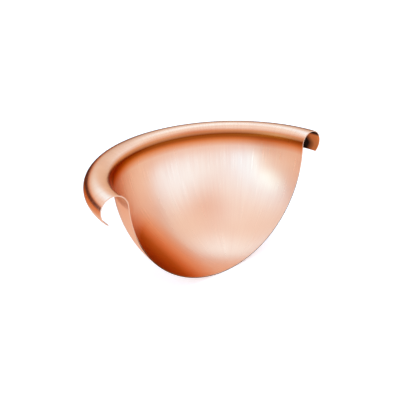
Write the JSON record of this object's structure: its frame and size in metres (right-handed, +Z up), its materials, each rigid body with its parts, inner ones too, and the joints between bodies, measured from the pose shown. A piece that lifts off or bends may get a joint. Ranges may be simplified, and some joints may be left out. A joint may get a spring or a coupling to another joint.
{
  "type": "gutter end cap",
  "caption": "Ball-shaped end cap for a half-round roof gutter: a quarter-sphere copper sheet shell with its level rim rolled outward into an open bead.",
  "frame": {"origin": "centre of the bowl, which is the centre of the gutter's half circle, on the plane of the cut edge", "axes": "+X across the gutter, +Y along the gutter towards the closed end of the cap, +Z up"},
  "size_m": [0.1898, 0.0949, 0.0874],
  "materials": {
    "copper_sheet": "bright, lightly polished new copper sheet"
  },
  "bodies": {
    "root": {"end_cap": "copper_sheet"}
  },
  "joints": []
}
